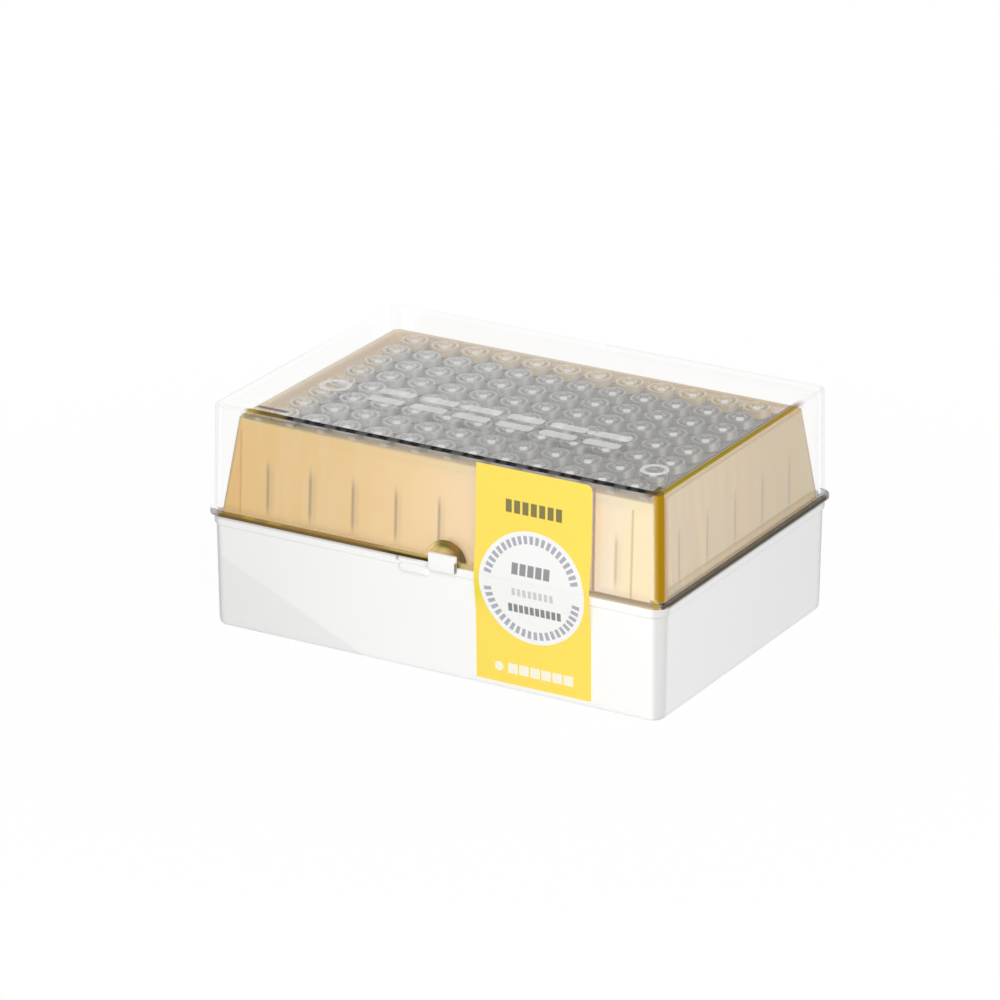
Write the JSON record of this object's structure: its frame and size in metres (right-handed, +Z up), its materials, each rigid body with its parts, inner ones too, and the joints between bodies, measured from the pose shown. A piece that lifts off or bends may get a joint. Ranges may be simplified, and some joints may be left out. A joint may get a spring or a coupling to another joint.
{
  "type": "box of pipette tips",
  "caption": "Hinged rack box of positive-displacement pipette tips: white base, amber tip rack, clear lid with a front latch, and a paper seal across the seam.",
  "frame": {"origin": "centre of the whole object's footprint, on the surface it stands on", "axes": "+X along the long side, to the right as seen from the latch; +Y from the latch towards the hinges; +Z up"},
  "size_m": [0.13, 0.0958, 0.0592],
  "materials": {
    "white_plastic": "satin injection-moulded polypropylene",
    "amber_plastic": "translucent amber moulding, smooth",
    "clear_plastic": "clear glossy moulding",
    "capillary_plastic": "natural translucent polypropylene",
    "piston_plastic": "smooth white plastic",
    "seal_paper": "coated paper with printed fields of colour"
  },
  "bodies": {
    "base": {"base": "white_plastic", "rack": "amber_plastic", "capillaries_column_01": "capillary_plastic", "capillaries_column_02": "capillary_plastic", "capillaries_column_03": "capillary_plastic", "capillaries_column_04": "capillary_plastic", "capillaries_column_05": "capillary_plastic", "capillaries_column_06": "capillary_plastic", "capillaries_column_07": "capillary_plastic", "capillaries_column_08": "capillary_plastic", "capillaries_column_09": "capillary_plastic", "capillaries_column_10": "capillary_plastic", "capillaries_column_11": "capillary_plastic", "capillaries_column_12": "capillary_plastic", "pistons_column_01": "piston_plastic", "pistons_column_02": "piston_plastic", "pistons_column_03": "piston_plastic", "pistons_column_04": "piston_plastic", "pistons_column_05": "piston_plastic", "pistons_column_06": "piston_plastic", "pistons_column_07": "piston_plastic", "pistons_column_08": "piston_plastic", "pistons_column_09": "piston_plastic", "pistons_column_10": "piston_plastic", "pistons_column_11": "piston_plastic", "pistons_column_12": "piston_plastic", "seal_lower": "seal_paper"},
    "lid": {"lid": "clear_plastic", "seal_upper": "seal_paper"}
  },
  "joints": [
    {"name": "lid_hinge", "type": "hinge", "parent": "base", "child": "lid", "pos_m": [0, 0.04585, 0.0294], "axis": [-1, 0, 0], "range_deg": [0, 110]}
  ]
}
